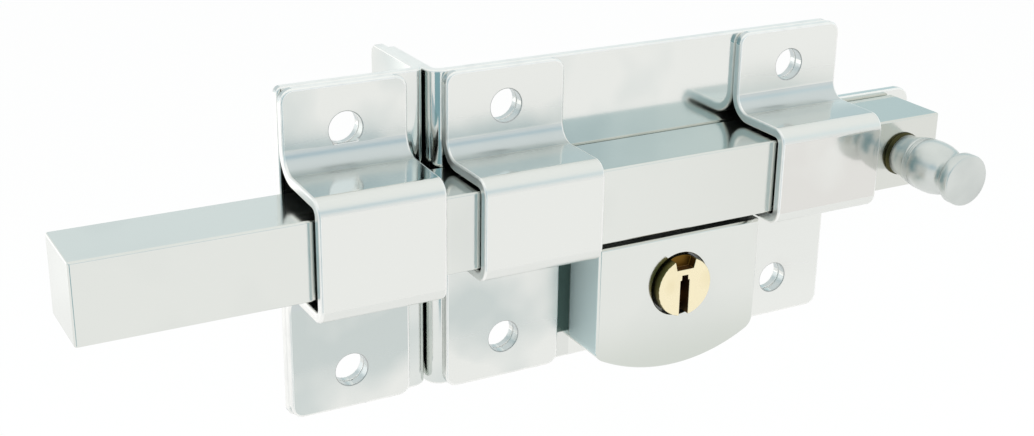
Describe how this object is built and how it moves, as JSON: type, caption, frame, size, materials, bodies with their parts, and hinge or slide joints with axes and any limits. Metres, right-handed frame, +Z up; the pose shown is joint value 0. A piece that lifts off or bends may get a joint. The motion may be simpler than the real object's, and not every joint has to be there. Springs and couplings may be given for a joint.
{
  "type": "surface bar lock",
  "caption": "Surface-mounted door lock: a square steel bar slides through sheet guides and a strike loop, moved by a knob and locked by a brass key cylinder in a case below.",
  "frame": {"origin": "centre of the back face of the body's base plate, the face that lies on the door", "axes": "+X right along the bar towards the knob, +Y into the door, +Z up"},
  "size_m": [0.2357, 0.07, 0.0836],
  "materials": {
    "plated_steel": "polished nickel or chrome plate",
    "brass": "satin",
    "dark_ring": "dark, dull",
    "zinc": "cast zinc alloy",
    "steel": "bright zinc"
  },
  "bodies": {
    "lock_body": {"body_base_plate": "plated_steel", "left_guide": "plated_steel", "right_guide": "plated_steel", "strike_plate": "plated_steel", "strike_loop": "plated_steel", "lock_case": "plated_steel", "cylinder_housing": "zinc", "case_rivet_1": "steel", "case_rivet_2": "steel", "housing_rivet_1": "steel", "housing_rivet_2": "steel"},
    "sliding_bar": {"bar": "plated_steel", "bar_stop_pin": "steel", "knob_ring": "dark_ring", "knob": "plated_steel", "knob_screw": "steel"},
    "key_plug": {"plug": "brass", "cam_plate": "steel", "cam_pin": "steel", "wafer_1": "brass", "wafer_2": "brass", "wafer_3": "brass", "wafer_spring_1": "steel", "wafer_spring_2": "steel", "wafer_spring_3": "steel"},
    "dog": {"locking_dog": "steel"}
  },
  "joints": [
    {"name": "bar_slide", "type": "slide", "parent": "lock_body", "child": "sliding_bar", "axis": [1, 0, 0], "range_m": [-0.0044, 0.0925]},
    {"name": "plug_turn", "type": "hinge", "parent": "lock_body", "child": "key_plug", "pos_m": [0.0045, -0.012, -0.02], "axis": [0, 1, 0], "range_deg": [0, 90]},
    {"name": "dog_lift", "type": "slide", "parent": "lock_body", "child": "dog", "axis": [0, 0, 1], "range_m": [0, 0.00495]}
  ],
  "couplings": [
    {"joint": "plug_turn", "follows": "dog_lift", "rad_per_m": 317.33}
  ]
}
